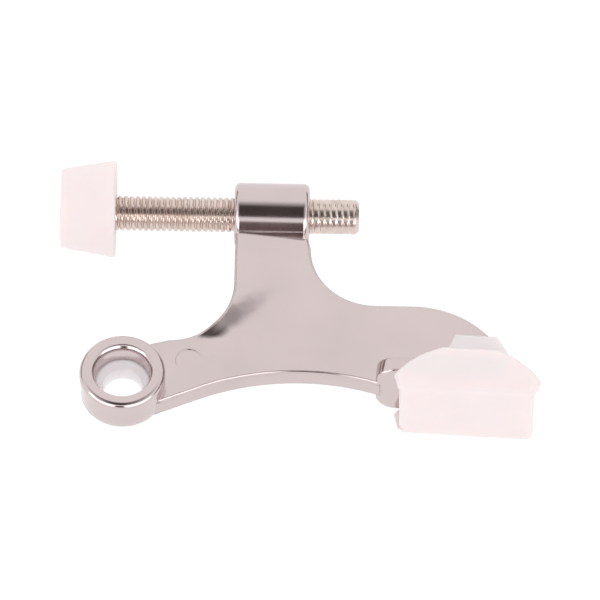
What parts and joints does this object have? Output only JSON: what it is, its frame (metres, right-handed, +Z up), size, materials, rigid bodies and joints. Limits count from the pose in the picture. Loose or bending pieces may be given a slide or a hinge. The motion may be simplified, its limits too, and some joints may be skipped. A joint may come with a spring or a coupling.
{
  "type": "hinge pin door stop",
  "caption": "Die-cast door stop that hangs on a hinge pin, with a curved arm, a rubber-booted foot and an adjusting screw with a rubber tip.",
  "frame": {"origin": "on the hinge pin's axis, in the seat face of the pin bush, where it rests on the hinge knuckle", "axes": "+Z up along the hinge pin, +X along the adjusting screw, away from its rubber tip"},
  "size_m": [0.0816, 0.0506, 0.0164],
  "materials": {
    "satin_nickel": "satin nickel plate on a zinc die casting",
    "white_nylon": "moulded nylon",
    "screw_steel": "rolled thread, nickel plated",
    "white_rubber": "soft matt moulded rubber"
  },
  "bodies": {
    "casting": {"body": "satin_nickel", "pin_bush": "white_nylon", "foot_boot": "white_rubber"},
    "tip": {"screw_tip": "white_rubber"},
    "screw": {"adjusting_screw": "screw_steel"}
  },
  "joints": [
    {"name": "screw_feed", "type": "slide", "parent": "casting", "child": "tip", "axis": [1, 0, 0], "range_m": [-0.0082, 0.0198]},
    {"name": "screw_spin", "type": "hinge", "parent": "tip", "child": "screw", "pos_m": [0, 0.03436, 0.0032], "axis": [1, 0, 0], "range_deg": [-2957, 7133]}
  ],
  "couplings": [
    {"joint": "screw_spin", "follows": "screw_feed", "rad_per_m": 6283.2}
  ]
}
